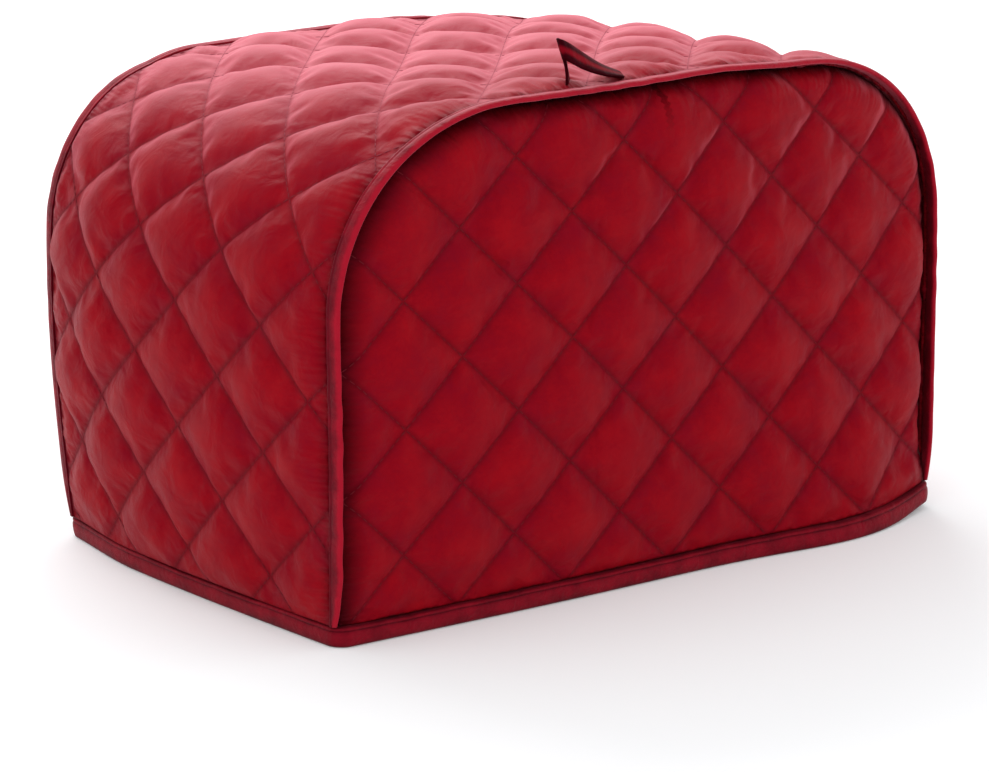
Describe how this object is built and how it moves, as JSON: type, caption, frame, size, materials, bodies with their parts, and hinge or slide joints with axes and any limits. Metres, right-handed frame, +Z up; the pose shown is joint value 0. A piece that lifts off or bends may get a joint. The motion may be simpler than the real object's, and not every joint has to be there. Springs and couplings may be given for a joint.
{
  "type": "quilted toaster cover",
  "caption": "Hollow quilted cloth cover with rounded upper corners, bound seams and hem, and a tape loop on top.",
  "frame": {"origin": "middle of the whole cover in plan, on the surface that it stands on", "axes": "+X along the width towards the right end, +Y towards the back, +Z up"},
  "size_m": [0.333, 0.2318, 0.2218],
  "materials": {
    "quilted_cloth": "crimson satin-faced quilted polyester with a soft sheen",
    "binding_tape": "folded crimson tape, duller than the quilted cloth",
    "loop_tape": "narrow dark crimson tape"
  },
  "bodies": {
    "root": {"front_panel": "quilted_cloth", "back_panel": "quilted_cloth", "gusset": "quilted_cloth", "front_binding": "binding_tape", "back_binding": "binding_tape", "hem_binding": "binding_tape", "top_loop": "loop_tape"}
  },
  "joints": []
}
